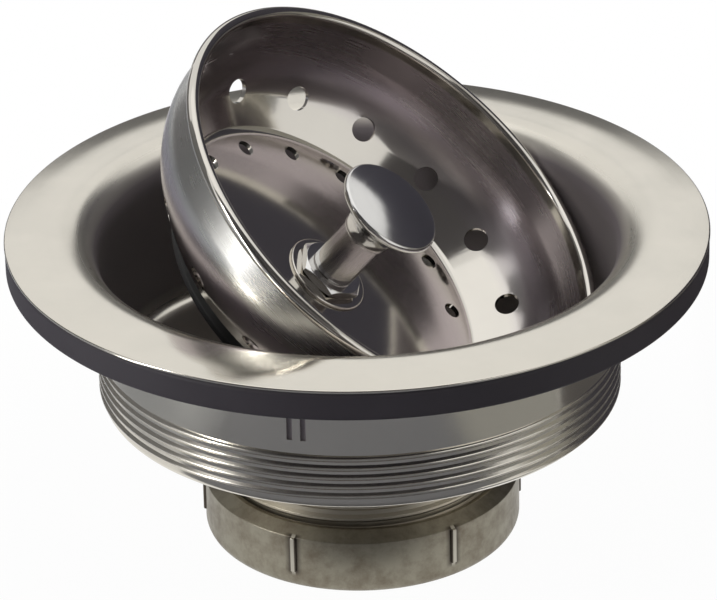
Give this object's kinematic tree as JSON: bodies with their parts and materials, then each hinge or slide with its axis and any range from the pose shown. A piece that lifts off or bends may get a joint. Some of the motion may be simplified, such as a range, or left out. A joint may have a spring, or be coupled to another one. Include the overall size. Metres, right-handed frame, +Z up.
{
  "type": "sink strainer",
  "caption": "Kitchen sink basket strainer: flanged threaded drain body with gasket and coupling nut, and a lift-out perforated basket with stopper leaning in its bowl.",
  "frame": {"origin": "centre of the coupling nut's underside, on the drain's axis", "axes": "+Z up along the drain axis, -Y towards the picture's viewer, +X to the viewer's right"},
  "size_m": [0.1142, 0.1142, 0.085],
  "materials": {
    "satin_stainless": "satin drawn stainless steel",
    "polished_stainless": "polished drawn stainless steel",
    "plated_metal": "bright plated turned metal",
    "gasket_rubber": "matt moulded rubber",
    "seal_rubber": "soft moulded rubber",
    "neck_brass": "dull plated brass",
    "dull_nut": "dull olive-grey plated brass",
    "washer_plastic": "waxy white plastic",
    "spring_steel": "bent spring strip"
  },
  "bodies": {
    "strainer": {"strainer_body": "satin_stainless", "flange_gasket": "gasket_rubber", "outlet_neck": "neck_brass", "outlet_spider": "satin_stainless"},
    "washer": {"tail_washer": "washer_plastic"},
    "nut": {"coupling_nut": "dull_nut"},
    "basket": {"basket_cup": "polished_stainless", "basket_post": "plated_metal", "pull_knob": "plated_metal", "post_washer": "polished_stainless", "post_nut": "plated_metal", "stopper_seal": "seal_rubber", "seal_retainer": "polished_stainless", "snap_clip": "spring_steel", "end_nut": "plated_metal"}
  },
  "joints": [
    {"name": "basket_lift", "type": "slide", "parent": "strainer", "child": "basket", "axis": [0, 0, 1], "range_m": [0, 0.07]},
    {"name": "washer_travel", "type": "slide", "parent": "strainer", "child": "washer", "axis": [0, 0, 1], "range_m": [0, 0.0033]},
    {"name": "nut_turn", "type": "hinge", "parent": "washer", "child": "nut", "pos_m": [0, 0, 0.005], "axis": [0, 0, 1], "range_deg": [0, 537]}
  ],
  "couplings": [
    {"joint": "washer_travel", "follows": "nut_turn", "m_per_rad": 0.00035153}
  ]
}
